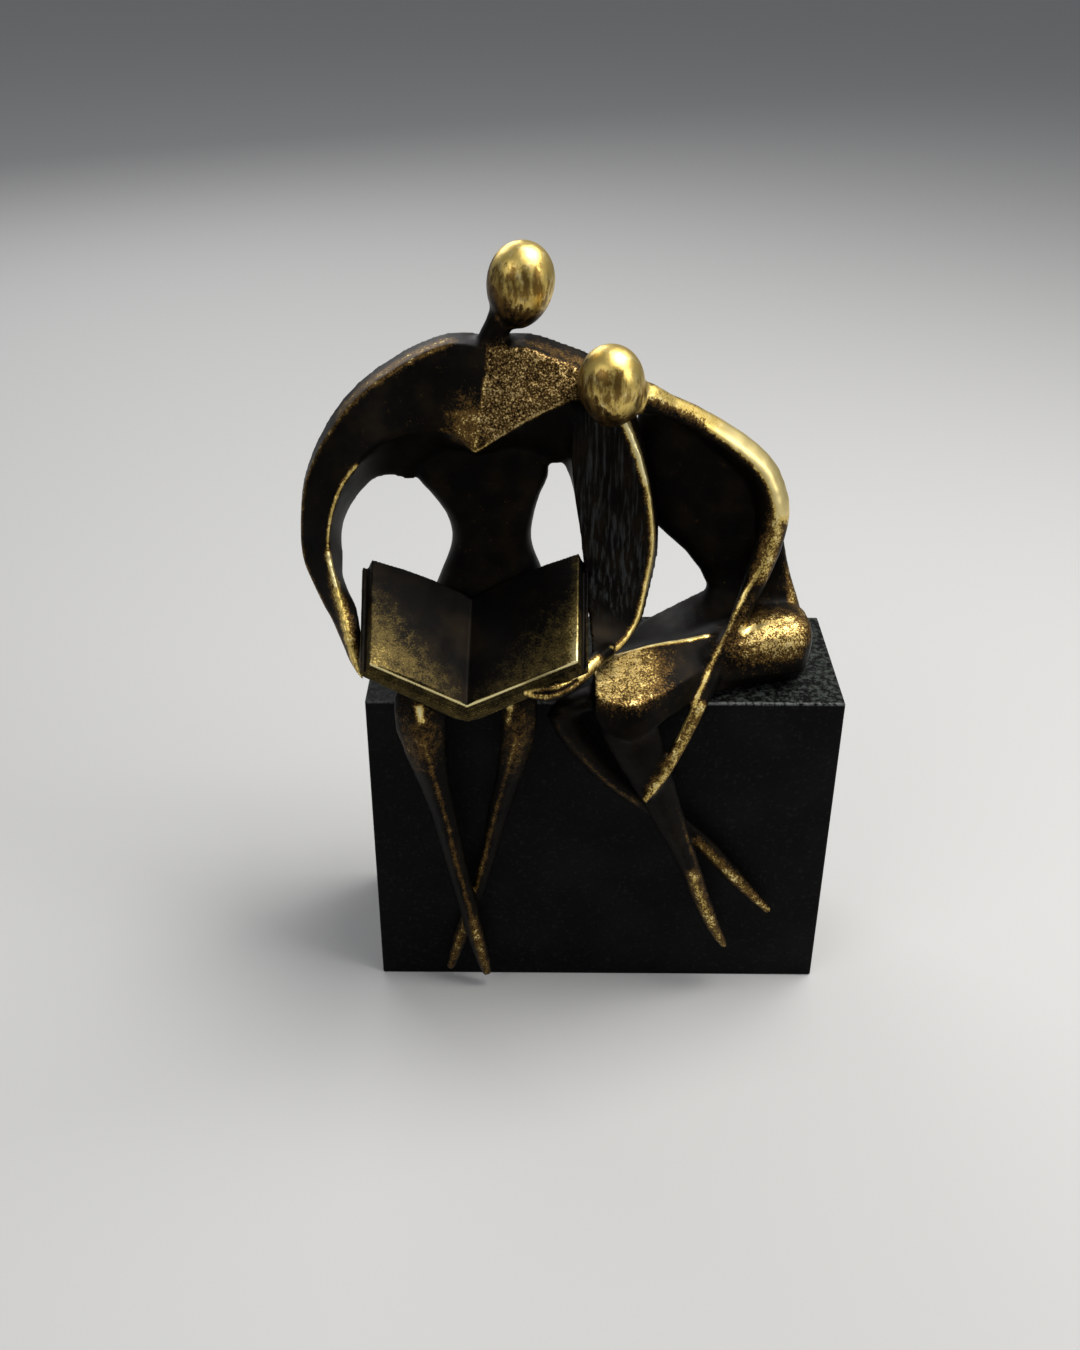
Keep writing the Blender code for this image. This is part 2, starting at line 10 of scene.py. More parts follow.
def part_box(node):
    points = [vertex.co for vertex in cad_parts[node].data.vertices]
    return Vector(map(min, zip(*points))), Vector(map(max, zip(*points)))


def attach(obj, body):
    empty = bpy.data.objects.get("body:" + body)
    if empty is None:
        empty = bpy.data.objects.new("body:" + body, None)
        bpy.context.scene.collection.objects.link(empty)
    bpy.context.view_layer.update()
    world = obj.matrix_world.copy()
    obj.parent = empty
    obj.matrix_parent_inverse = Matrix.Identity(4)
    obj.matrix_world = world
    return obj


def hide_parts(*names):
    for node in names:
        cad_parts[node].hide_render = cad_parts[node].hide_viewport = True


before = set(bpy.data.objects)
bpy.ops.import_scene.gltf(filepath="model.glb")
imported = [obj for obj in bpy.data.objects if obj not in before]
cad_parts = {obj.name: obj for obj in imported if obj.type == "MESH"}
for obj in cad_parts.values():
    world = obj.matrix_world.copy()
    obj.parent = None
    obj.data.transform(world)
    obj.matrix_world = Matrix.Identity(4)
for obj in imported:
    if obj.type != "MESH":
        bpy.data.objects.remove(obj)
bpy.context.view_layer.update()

FRONT_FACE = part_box("bench_block")[0].y
SEAT_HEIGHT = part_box("bench_block")[1].z
LINE_SPACING = 0.0004
MERGE_GAP = 0.000005


# Places are in millimetres: x from the bench middle, d behind its front face, h above its top
def seat_point(x, d, h):
    return Vector((x / 1000, FRONT_FACE + d / 1000, SEAT_HEIGHT + h / 1000))


def seat_places(points):
    """The same three places for many points: all x, all d and all h."""
    return ((points - (0, FRONT_FACE, SEAT_HEIGHT)) * 1000).T


def smooth_line(keys):
    """Evenly spaced points along a curve through the keys."""
    keys = [seat_point(*key) for key in keys]
    out = []
    for i in range(len(keys) - 1):
        a = keys[max(i - 1, 0)]
        b = keys[i]
        c = keys[i + 1]
        e = keys[min(i + 2, len(keys) - 1)]
        steps = max(2, int((c - b).length / LINE_SPACING))
        for s in range(steps):
            t = s / steps
            out.append(
                b + (c - a) * (0.5 * t) + (a - b * 2.5 + c * 2 - e * 0.5) * t**2
                + (b * 1.5 - a * 0.5 - c * 1.5 + e * 0.5) * t**3
            )
    out.append(keys[-1])
    return out


# Working on meshes
def make_active(piece):
    bpy.ops.object.select_all(action="DESELECT")
    piece.select_set(True)
    bpy.context.view_layer.objects.active = piece


def cast_copy(node, name, voxel):
    """A merged copy of a CAD node, remeshed finely enough to carry cast relief."""
    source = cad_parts[node]
    piece = bpy.data.objects.new(name, source.data.copy())
    piece.data.name = name
    piece.data.materials.clear()
    bpy.context.scene.collection.objects.link(piece)
    make_active(piece)
    bpy.ops.object.mode_set(mode="EDIT")
    bpy.ops.mesh.select_all(action="SELECT")
    bpy.ops.mesh.remove_doubles(threshold=MERGE_GAP)
    bpy.ops.object.mode_set(mode="OBJECT")
    remesh = piece.modifiers.new("remesh", "REMESH")
    remesh.mode = "VOXEL"
    remesh.voxel_size = voxel
    remesh.use_smooth_shade = True
    bpy.ops.object.modifier_apply(modifier=remesh.name)
    return piece


def read_vertices(piece, what="co"):
    out = np.empty(len(piece.data.vertices) * 3, np.float32)
    piece.data.vertices.foreach_get(what, out)
    return out.reshape(-1, 3).astype(float)


class Skin:
    """A piece's points, with what is needed to smooth them."""

    def __init__(self, piece):
        self.piece = piece
        self.points = read_vertices(piece)
        ends = np.empty(len(piece.data.edges) * 2, np.int32)
        piece.data.edges.foreach_get("vertices", ends)
        ends = ends.reshape(-1, 2)
        self.here = np.concatenate((ends[:, 0], ends[:, 1]))
        self.there = np.concatenate((ends[:, 1], ends[:, 0]))
        self.count = np.bincount(self.here, minlength=len(self.points))

    def around(self, values):
        """The mean of each vertex's neighbours."""
        columns = values.reshape(len(values), -1)
        sums = [np.bincount(self.here, column[self.there], len(values)) for column in columns.T]
        return (np.stack(sums, 1) / self.count[:, None]).reshape(values.shape)

    def smooth(self, rounds, ridge=(), hold=0.0, reach=1.6):
        """Smooth without shrinking, holding the skin back within reach of a ridge."""
        free = 1.0
        if ridge:
            free = (1 - closeness(self.points, ridge, reach) * hold)[:, None]
        shrink = 0.5
        swell = -0.52
        for _ in range(rounds):
            for step in (shrink, swell):
                self.points += (self.around(self.points) - self.points) * step * free
        self.write()

    def fill_creases(self, rounds, most, pace=0.6):
        """Round out the hollow joints, by at most the given millimetres."""
        start = self.points.copy()
        for _ in range(rounds):
            normals = read_vertices(self.piece, "normal")
            move = self.around(self.points) - self.points
            out = np.clip(np.sum(move * normals, axis=1), 0, None)
            self.points += normals * out[:, None] * pace
            shift = self.points - start
            size = np.linalg.norm(shift, axis=1)[:, None]
            self.points = start + shift * np.minimum(1, most / 1000 / np.maximum(size, 1e-9))
            self.write()

    def bulge(self, rounds):
        """How far each vertex stands out of its surroundings, in millimetres. Hollows are negative."""
        flat = self.points
        for _ in range(rounds):
            flat = self.around(flat)
        out = np.sum((self.points - flat) * read_vertices(self.piece, "normal"), axis=1) * 1000
        return self.around(self.around(out))

    def raise_by(self, height):
        """Move the skin along its normals, in millimetres."""
        self.points += read_vertices(self.piece, "normal") * height[:, None] / 1000
        self.write()

    def write(self):
        self.piece.data.vertices.foreach_set("co", self.points.astype(np.float32).ravel())
        self.piece.data.update()


def ridge_points(node, least_angle):
    """Points along the CAD node's convex edges that are sharper than the angle."""
    bm = bmesh.new()
    bm.from_mesh(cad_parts[node].data)
    bmesh.ops.remove_doubles(bm, verts=bm.verts[:], dist=MERGE_GAP)
    bm.normal_update()
    out = []
    for edge in bm.edges:
        if edge.calc_face_angle_signed(0.0) > math.radians(least_angle):
            a, b = (v.co for v in edge.verts)
            steps = max(1, int((b - a).length / LINE_SPACING))
            out.extend(a.lerp(b, i / steps) for i in range(steps + 1))
    bm.free()
    return out


def cast_figure(node, name, voxel, rounds, crease_rounds, crease_fill):
    """The skin of a figure, with softened facets, kept ridges and filled joints."""
    skin = Skin(cast_copy(node, name, voxel))
    skin.smooth(rounds=9)
    skin.smooth(rounds, ridge_points(node, least_angle=42), hold=0.6)
    skin.fill_creases(crease_rounds, crease_fill)
    skin.smooth(rounds=4)
    return skin


# Masks, one value a vertex
def closeness(points, line, reach):
    """1 on the line, falling smoothly to 0 at the reach in millimetres."""
    tree = kdtree.KDTree(len(line))
    for i, p in enumerate(line):
        tree.insert(p, i)
    tree.balance()
    gap = np.array([tree.find(p)[2] for p in points]) * 1000 / reach
    t = np.clip(1 - gap, 0, 1)
    return t * t * (3 - 2 * t)


def rise(values, low, high):
    """Smooth step from 0 at low to 1 at high."""
    t = np.clip((values - low) / (high - low), 0, 1)
    return t * t * (3 - 2 * t)


def offset(points, centre, size):
    """Each point's offset from the centre, as a share of the size in millimetres."""
    return (points - np.array(seat_point(*centre))) * 1000 / np.array(size)


def patch(points, centre, size, soft=0.35):
    """1 inside an ellipsoid, fading to 0 across its soft edge."""
    gap = np.linalg.norm(offset(points, centre, size), axis=1)
    return 1 - rise(gap, 1 - soft, 1 + soft)


def ripple(points, scales, seed):
    """Noise from -1 to 1, with the given size in millimetres along each axis."""
    stretched = points * 1000 / np.array(scales) + seed
    return np.array([noise.noise(p) for p in stretched])


def worn(points, strokes):
    """The strongest of several brush strokes, each a line, a reach and a strength."""
    out = np.zeros(len(points))
    for keys, reach, strength in strokes:
        out = np.maximum(out, closeness(points, smooth_line(keys), reach) * strength)
    return out


def head_stain(from_centre):
    """A brown belt round a head's middle and one down its left side, away from the lamp: partly stain,
    partly painted reflection and shade.
    """
    up_in_view = np.array((0.0, 0.515, 0.857))
    low = -from_centre @ up_in_view
    belt = rise(low, -0.50, 0.10) * (1 - 0.45 * rise(low, 0.45, 0.80))
    side = rise(-from_centre[:, 0], 0.45, 0.95)
    return np.maximum(belt * (1 - 0.35 * rise(from_centre[:, 0], 0.2, 0.9)), side)


def save_masks(piece, **masks):
    for name, values in masks.items():
        layer = piece.data.attributes.new(name, "FLOAT", "POINT")
        layer.data.foreach_set("value", np.clip(values, 0, 1).astype(np.float32))


# Reader figure: the lines where a dry brush would touch, from the shoulders down
left_crest = [
    (-48.0, 28.5, 106.4), (-58.7, 27.8, 102.2), (-66.9, 27.2, 97.4), (-74.4, 26.5, 92.0),
    (-81.6, 26.0, 84.6), (-88.0, 25.5, 75.4), (-92.4, 24.5, 66.4), (-94.5, 22.5, 57.6),
    (-95.2, 19.5, 47.2), (-94.0, 16.0, 40.6), (-91.2, 12.5, 35.2), (-88.0, 9.0, 29.6),
    (-84.8, 5.5, 25.2), (-82.0, 1.8, 19.8), (-79.4, -2.0, 15.4),
]
left_front_edge = [
    (-76.2, 17.5, 72.2), (-80.2, 16.5, 67.2), (-83.8, 15.0, 59.4), (-85.6, 12.5, 50.2),
    (-85.2, 10.5, 45.2), (-83.8, 7.5, 39.4),
]
left_hand = [
    (-83.8, 7.5, 39.4), (-82.4, 4.6, 33.2), (-81.2, 1.8, 28.0), (-79.8, -1.4, 22.4),
    (-78.0, -4.0, 17.4), (-75.2, -9.4, 14.0),
]
left_palm = [(-85.4, 11.0, 46.0), (-84.6, 9.2, 42.4), (-83.4, 6.6, 37.6)]
left_short_edge = [(-40.6, 15.2, 77.4), (-44.0, 17.6, 80.0), (-50.0, 20.0, 82.6)]
right_crest_top = [(-0.6, 27.4, 92.0), (3.6, 27.2, 86.2), (8.6, 26.5, 75.2), (12.2, 25.5, 64.4)]
right_crest_low = [
    (12.2, 25.5, 64.4), (13.9, 24.4, 54.6), (14.7, 22.2, 44.0), (13.2, 18.4, 34.0),
    (10.8, 13.2, 24.4), (7.8, 8.8, 19.6), (3.8, 3.6, 17.4),
]
chest_keel = [(-40.6, 15.2, 77.4), (-38.8, 19.0, 87.0), (-36.8, 23.4, 98.0)]
chest_low_edge = [
    (-40.6, 15.2, 77.4), (-31.7, 16.6, 82.9), (-22.2, 19.5, 87.9), (-13.6, 21.5, 91.6),
]
right_rim = [(-33.0, 31.0, 107.0), (-26.0, 31.0, 107.2), (-17.0, 31.0, 103.8), (-9.0, 31.0, 100.6)]
left_rim = [
    (-48.4, 31.0, 107.2), (-59.0, 31.0, 103.0), (-67.0, 30.5, 98.4), (-74.8, 30.0, 92.8),
    (-82.4, 29.5, 85.2),
]
left_shin = [
    (-56.4, -15.6, -4.0), (-53.6, -13.8, -20.5), (-50.4, -11.8, -37.6), (-47.4, -11.0, -57.0),
    (-44.0, -10.4, -75.2), (-40.8, -9.8, -93.5), (-38.0, -8.0, -108.3),
]
right_shin = [
    (-28.0, -15.0, -4.0), (-31.6, -12.4, -20.5), (-35.4, -9.4, -37.6), (-39.0, -6.6, -57.0),
    (-43.4, -5.6, -75.2), (-48.6, -5.6, -93.5), (-52.4, -5.0, -108.3),
]
left_foot = [(-43.0, -10.0, -82.0), (-40.4, -9.4, -96.0), (-38.6, -8.0, -108.3)]
right_foot = [(-45.0, -6.0, -82.0), (-48.4, -5.4, -96.0), (-51.8, -5.0, -108.3)]
left_knee = [(-57.4, -15.2, 6.6), (-56.4, -16.4, 2.4), (-52.6, -16.4, 3.6)]
right_knee = [(-30.4, -12.6, 8.6), (-30.8, -14.6, 4.4), (-31.4, -14.4, 0.4)]
knuckles = [
    (-3.2, -5.0, 18.6), (-8.4, -12.0, 17.0), (-13.6, -16.8, 15.4), (-19.4, -18.6, 14.2),
    (-25.6, -17.6, 14.2),
]
finger_gap = [
    (-25.0, -16.2, 15.2), (-21.4, -18.0, 14.4), (-16.1, -17.8, 14.8), (-12.6, -16.3, 15.5),
    (-9.5, -13.7, 16.4),
]

skin = cast_figure(
    "reader_figure", "reader_cast", voxel=0.0007, rounds=26, crease_rounds=24, crease_fill=1.2
)
reader = skin.piece
points = skin.points
across, _, height = seat_places(points)
facing = read_vertices(reader, "normal")
front = rise(-facing[:, 1], 0.1, 0.5)
up = rise(facing[:, 2], -0.1, 0.6)

# The gilded chest facet lies above its low edge, and between its keel and the right arm
edge_x, _, edge_h = np.array(chest_low_edge).T
above_edge = height - np.interp(across, edge_x, edge_h)
keel_x, _, keel_h = np.array(chest_keel).T
right_of_keel = across - np.interp(height, keel_h, keel_x)
chest = patch(points, (-24.0, 22.0, 93.0), (22.0, 12.0, 19.0), 0.12) * front
chest = chest * rise(above_edge, -1.0, 0.2)
chest = chest * rise(right_of_keel, -1.2, 0.4) * (1 - rise(across, -12.0, -4.0))
left_facet = patch(points, (-43.0, 18.0, 85.0), (6.2, 7.0, 11.0), 0.7) * rise(height, 75.0, 78.0)
below_left_knee = patch(points, (-58.0, -13.0, -6.0), (7.0, 6.0, 12.0), 0.8)
below_right_knee = patch(points, (-27.0, -12.0, -6.0), (6.0, 6.0, 13.0), 0.8)
arm_face = patch(points, (0, 22, 58), (13, 16, 44), 0.16) * rise(across, -11.5, -9.5) * front
fingers = closeness(points, smooth_line(finger_gap), 1.2)
head = patch(points, (-27.0, 32.5, 123.6), (11.4, 11.4, 14.4), 0.05)
from_centre = offset(points, (-27.0, 32.5, 123.0), (10, 10, 13))
# Head gold is strongest toward the upper right front, where the lamp falls: a painted highlight over
# the polished gold
head_light = rise(from_centre @ np.array((0.35, -0.15, 0.92)), -0.60, 0.40)

strokes = worn(points, [
    (left_crest, 2.2, 0.50),
    (left_front_edge, 1.7, 0.95),
    (left_hand, 5.0, 0.85),
    (left_palm, 3.0, 1.1),
    (left_short_edge, 1.8, 0.55),
    (right_crest_top, 3.3, 1.4),
    (right_crest_low, 2.6, 0.95),
    (chest_keel, 1.8, 0.6),
    (chest_low_edge, 1.6, 0.8),
    (right_rim, 5.0, 0.36),
    (left_rim, 5.5, 0.50),
    (left_shin, 1.9, 0.55),
    (right_shin, 1.9, 0.55),
    (left_foot, 4.0, 0.55),
    (right_foot, 4.0, 0.45),
    (left_knee, 2.8, 1.2),
    (right_knee, 3.2, 1.2),
    (knuckles, 3.4, 0.92),
])
# Gold mask: dry-brushed gold, plus painted highlights where it follows the light
gild = np.maximum.reduce([
    strokes,
    chest * 0.47,
    left_facet * 0.44,
    below_left_knee * 0.35,
    below_right_knee * 0.35,
    head * (0.22 + 0.93 * head_light),
])
bulge = skin.bulge(5)
save_masks(
    reader,
    gild=gild * (1 - fingers),
    edge_wear=rise(bulge, 0.10, 0.34) * (1 - arm_face * 0.5) * (0.4 + 0.6 * up),
    hollow=rise(-bulge, 0.03, 0.16),
    burnish=head,
    stain=head_stain(from_centre) * head * 0.62,
    hammered=chest,
    brushed=arm_face,
)
cast_wave = ripple(points, (11, 11, 11), 3.7) * 0.16 + ripple(points, (4, 4, 4), 8.1) * 0.05
hammer_marks = ripple(points, (2.2, 2.2, 2.2), 1.3) * 0.24 * chest
brush_marks = ripple(points, (1.9, 6, 18), 5.9) * 0.18 * arm_face
skin.raise_by(cast_wave * (1 - head) + hammer_marks + brush_marks - fingers * 0.7)

# Leaning figure: its brushed lines, from the arm down
arm_start = [
    (9.0, 17.5, 97.0), (14.0, 19.0, 95.4), (19.0, 21.0, 92.4), (26.0, 23.6, 88.4),
    (32.0, 25.4, 84.0),
]
arm_bright = [
    (33.0, 26.0, 83.4), (39.0, 27.0, 79.0), (45.0, 27.5, 73.4), (50.0, 27.0, 66.6),
    (53.0, 26.0, 59.0),
]
elbow = [(53.4, 24.0, 56.0), (52.6, 22.0, 49.6), (50.6, 19.4, 42.0), (48.6, 17.6, 36.6)]
blade_edge = [
    (49.0, 18.0, 41.0), (46.2, 16.6, 35.6), (43.0, 14.6, 30.4), (38.4, 10.0, 21.0),
    (33.0, 3.0, 12.0), (27.8, -5.2, 4.2), (21.8, -11.6, -6.6),
]
blade_tip = [(29.5, -6.0, 2.4), (23.4, -12.4, -8.4), (18.0, -16.4, -17.2), (12.4, -17.6, -26.0)]
lap_ridge = [
    (-3.8, 3.0, 13.4), (1.0, 5.4, 14.0), (7.0, 6.4, 15.0), (13.0, 8.0, 16.1),
    (19.0, 9.2, 16.7), (26.0, 10.2, 17.6), (32.0, 11.8, 18.2),
]
hip_top = [(43.0, 10.4, 20.2), (49.0, 11.6, 22.2), (55.0, 12.8, 23.8), (59.0, 14.2, 24.0)]
shin_edge = [
    (21.0, -15.0, -18.0), (24.0, -13.6, -29.6), (27.8, -12.2, -43.3), (32.0, -11.0, -57.0),
    (36.2, -10.2, -70.7),
]
shin_tip = [(30.0, -11.6, -60.0), (34.0, -10.6, -72.0), (38.6, -9.6, -84.4), (43.4, -8.2, -94.6)]
far_shin = [(-15.6, -12.0, -2.0), (-11.6, -12.4, -8.8), (-1.0, -10.2, -22.7), (10.6, -8.4, -34.1)]
far_tip = [(31.0, -7.0, -50.0), (40.0, -6.6, -60.0), (49.0, -6.2, -70.4), (57.8, -5.8, -80.9)]

skin = cast_figure(
    "leaning_figure", "leaning_cast", voxel=0.0006, rounds=28, crease_rounds=30, crease_fill=1.4
)
leaning = skin.piece
points = skin.points
across, behind, height = seat_places(points)
facing = read_vertices(leaning, "normal")
up = rise(facing[:, 2], -0.1, 0.6)
lit = rise(facing @ np.array((0.55, -0.20, 0.75)), -0.10, 0.65)
faces_light = rise(facing[:, 2] - facing[:, 1] * 0.5, 0.0, 0.9)

# The arm's gold is weighted to faces turned toward the overhead lamp: rubbed gold with a painted
# highlight on its lit side
arm = np.minimum(worn(points, [(arm_bright, 15.0, 1.45)]), 1.1) * lit
arm = arm * (0.75 + 0.25 * rise(across, 30.0, 42.0))
# Hip and knee patches are weighted to faces turned up and toward the viewer, where the light falls:
# partly gold wear, partly painted highlight, also in their hammered tan
hip = patch(points, (54.0, 8.0, 17.0), (15.0, 12.0, 14.0), 0.75) * faces_light
hip = hip * (0.55 + 0.45 * rise(height, 6.0, 20.0))
knee = faces_light * rise(across, -7.0, -3.0) * (1 - rise(across, 8.0, 27.0))
knee = knee * rise(height, 2.0, 13.0) * (1 - rise(behind, 5.0, 9.0))
flank = rise(across, 55.0, 60.0) * rise(facing[:, 0], -0.2, 0.5)
flank = flank * rise(height, 16.0, 24.0) * (1 - rise(height, 36.0, 54.0))
head = patch(points, (-0.2, 18.0, 98.0), (11.2, 11.4, 13.9), 0.06)
from_centre = offset(points, (-0.2, 18.0, 97.6), (9.9, 10.2, 12.6))
# Head gold is strongest toward the upper right front, where the lamp falls: a painted highlight over
# the polished gold
head_light = rise(from_centre @ np.array((0.40, -0.15, 0.90)), -0.70, 0.40)

strokes = worn(points, [
    (arm_start, 6.5, 0.84),
    (elbow, 6.5, 0.66),
    (blade_edge, 1.8, 0.85),
    (blade_tip, 4.5, 0.68),
    (lap_ridge, 2.0, 1.0),
    (hip_top, 4.0, 0.98),
    (shin_edge, 2.0, 0.62),
    (shin_tip, 5.0, 0.6),
    (far_shin, 2.4, 0.45),
    (far_tip, 4.0, 0.56),
])
gild = np.maximum.reduce([
    strokes,
    flank * 0.52,
    head * (0.30 + 0.86 * head_light),
    arm,
    hip * 0.68,
    knee * 0.70,
])
bulge = skin.bulge(5)
save_masks(
    leaning,
    gild=gild,
    edge_wear=rise(bulge, 0.10, 0.34) * (0.4 + 0.6 * up),
    hollow=rise(-bulge, 0.03, 0.16),
    burnish=np.maximum(head, rise(arm, 0.6, 1.1) * 0.45),
    stain=head_stain(from_centre) * head * 0.58,
    hammered=np.maximum(hip, knee) * 0.6,
    brushed=np.zeros(len(points)),
)
cast_wave = ripple(points, (10, 10, 10), 4.4) * 0.16
cast_wave = cast_wave + ripple(points, (3.5, 3.5, 3.5), 2.2) * 0.06
hammer_marks = ripple(points, (2.0, 2.0, 2.0), 6.3) * 0.14 * np.maximum(hip, knee)
neck_web = patch(points, (8.5, 20.0, 89.5), (4.0, 4.0, 4.0), 0.5)
skin.raise_by(cast_wave * (1 - head) + hammer_marks + neck_web * 0.9)

# Open book: each vertex is placed by its depth under the page surface, so the leaves follow the V
BOOK_NEAR_END = -14.5
BOOK_LENGTH = 34.0
LEAF_MASK_DEPTH = 8.0
book = cast_copy("open_book", "book_cast", voxel=0.0004)
skin = Skin(book)
skin.smooth(10, ridge_points("open_book", least_angle=30), hold=0.7)

points = skin.points
facing = read_vertices(book, "normal")
across, behind, height = seat_places(points)
farness = (behind - BOOK_NEAR_END) / BOOK_LENGTH
nearness = 1 - farness
gutter = -42.8 + 0.4 * farness
gutter_height = 7.6 + 19.4 * farness
left_edge = -71.6 - 1.8 * farness
right_edge = -9.4 + 0.6 * farness
on_left = across < gutter
left_share = (gutter - across) / (gutter - left_edge)
right_share = (across - gutter) / (right_edge - gutter)
outwards = np.where(on_left, left_share, right_share)
edge_height = np.where(on_left, 22.3 + 18.0 * farness, 23.6 + 19.2 * farness)
depth = gutter_height + (edge_height - gutter_height) * outwards - height

page_block = 4.3 - 1.4 * outwards
cover = rise(depth - page_block, -0.15, 0.15)
page = rise(facing[:, 2], 0.3, 0.6) * (1 - cover)
end_face = rise(np.abs(facing[:, 1]), 0.6, 0.85)
near_end = rise(-facing[:, 1], 0.6, 0.85)
side_strip = rise(np.abs(facing[:, 0]), 0.5, 0.8) * rise(nearness, 0.1, 0.8)
page_gild = rise(nearness * 0.75 + outwards * 0.55, 0.40, 1.45) * 0.60
right_lines = rise(across, -13.5, -9.5) * page * 0.25
# The top edge of the leaves at the near end turns pale gold: gilded edge with a painted highlight
# along it
top_leaves = end_face * rise(-np.abs(depth - 0.3), -1.1, -0.2) * rise(nearness, 0.3, 0.9)
bulge = skin.bulge(4)
rubbed_edges = rise(bulge, 0.05, 0.2) * (0.25 + 0.75 * np.clip(nearness, 0, 1))
gild = np.maximum.reduce([
    page * (page_gild + right_lines),
    near_end * (0.32 + 0.10 * cover),
    rubbed_edges * (1 - 0.4 * cover),
    top_leaves * 1.1,
    side_strip * 0.42,
])
gutter_line = smooth_line([
    (-42.8, BOOK_NEAR_END, 7.8), (-42.4, BOOK_NEAR_END + BOOK_LENGTH, 27.0),
])
save_masks(
    book,
    gild=gild,
    hollow=np.maximum(rise(-bulge, 0.02, 0.12), closeness(points, gutter_line, 2.6) * page),
    leaf=depth / LEAF_MASK_DEPTH,
    fore_edge=(1 - cover) * (1 - page) * rise(depth, 0.0, 0.5),
)
sunk_leaves = end_face * (1 - cover) * rise(depth, 0.0, 0.6)
skin.raise_by(ripple(points, (9, 9, 9), 7.7) * 0.1 - sunk_leaves * 0.45)


# Finishes
class Value:
    """A shader socket. Arithmetic on it adds Math nodes to its finish."""

    def __init__(self, finish, socket):
        self.finish = finish
        self.socket = socket

    def math(self, operation, a, b):
        return self.finish.add("ShaderNodeMath", {"operation": operation}, {0: a, 1: b})

    def __add__(self, other):
        return self.math("ADD", self, other)

    __radd__ = __add__

    def __sub__(self, other):
        return self.math("SUBTRACT", self, other)

    def __rsub__(self, other):
        return self.math("SUBTRACT", other, self)

    def __mul__(self, other):
        return self.math("MULTIPLY", self, other)

    __rmul__ = __mul__

    def larger(self, other):
        return self.math("MAXIMUM", self, other)


class Finish:
    """A material and the nodes in it."""

    def __init__(self, name):
        self.material = bpy.data.materials.new(name)
        self.material.use_nodes = True
        self.nodes = self.material.node_tree.nodes
        self.shader = self.nodes["Principled BSDF"]
        self.place = self.add("ShaderNodeTexCoord", {}, {}, "Object")

    def add(self, kind, settings, values, output=0):
        """Any node: its settings first, then the values or links of its sockets."""
        node = self.nodes.new(kind)
        for key, value in settings.items():
            setattr(node, key, value)
        for key, value in values.items():
            self.feed(node.inputs[key], value)
        return Value(self, node.outputs[output])

    def feed(self, socket, value):
        if isinstance(value, Value):
            self.material.node_tree.links.new(value.socket, socket)
        else:
            socket.default_value = value

    def along(self, direction):
        """The place's distance along a direction, in metres."""
        values = {0: self.place, 1: direction}
        return self.add("ShaderNodeVectorMath", {"operation": "DOT_PRODUCT"}, values, "Value")

    def mask(self, name):
        return self.add("ShaderNodeAttribute", {"attribute_name": name}, {}, "Fac")

    def noise(self, size, detail=2.0, rough=0.5, stretch=(1, 1, 1)):
        """Noise from 0 to 1 with features of about the size, in millimetres, times the stretch."""
        scale = [1 / s for s in stretch]
        values = {0: self.place, 1: scale}
        place = self.add("ShaderNodeVectorMath", {"operation": "MULTIPLY"}, values)
        values = {"Vector": place, "Scale": 1000 / size, "Detail": detail, "Roughness": rough}
        return self.add("ShaderNodeTexNoise", {}, values, "Fac")

    def layers(self, value):
        """Noise from 0 to 1 that changes only with the value."""
        values = {"W": value, "Detail": 1.0, "Scale": 1.0}
        return self.add("ShaderNodeTexNoise", {"noise_dimensions": "1D"}, values, "Fac")

    def band(self, value, low, high):
        """Smooth step from 0 at low to 1 at high."""
        settings = {"interpolation_type": "SMOOTHSTEP"}
        values = {"Value": value, "From Min": low, "From Max": high}
        return self.add("ShaderNodeMapRange", settings, values)

    def blend(self, factor, a, b):
        values = {"Factor": factor, 6: self.colour(a), 7: self.colour(b)}
        return self.add("ShaderNodeMix", {"data_type": "RGBA"}, values, 2)

    def colour(self, value):
        return value if isinstance(value, Value) else (*value, 1)

    def relief(self, height):
        """Bump from a height in millimetres."""
        return self.add("ShaderNodeBump", {}, {"Height": height, "Distance": 0.001})

    def set(self, **values):
        for key, value in values.items():
            self.feed(self.shader.inputs[key.replace("_", " ")], value)


PATINA = (0.0022, 0.0018, 0.0014)
PATINA_WARM = (0.0070, 0.0048, 0.0026)
BRUSHED_GREY = (0.026, 0.028, 0.027)
BRONZE = (0.095, 0.052, 0.013)
BOOK_BRONZE = (0.070, 0.050, 0.015)
TAN = (0.40, 0.295, 0.135)
DULL_GOLD = (0.33, 0.245, 0.075)
GOLD = (0.70, 0.51, 0.145)
PALE_GOLD = (0.92, 0.80, 0.42)
BROWN_STAIN_AND_SHADE = (0.10, 0.045, 0.008)
BENCH_BLACK = (0.0010, 0.0011, 0.0010)
BENCH_GREY = (0.009, 0.011, 0.009)
BENCH_TOP_FLECK_AND_SHEEN = (0.040, 0.046, 0.040)
BENCH_EDGE_HIGHLIGHT = (0.15, 0.16, 0.15)
LEAF_LINES = 30


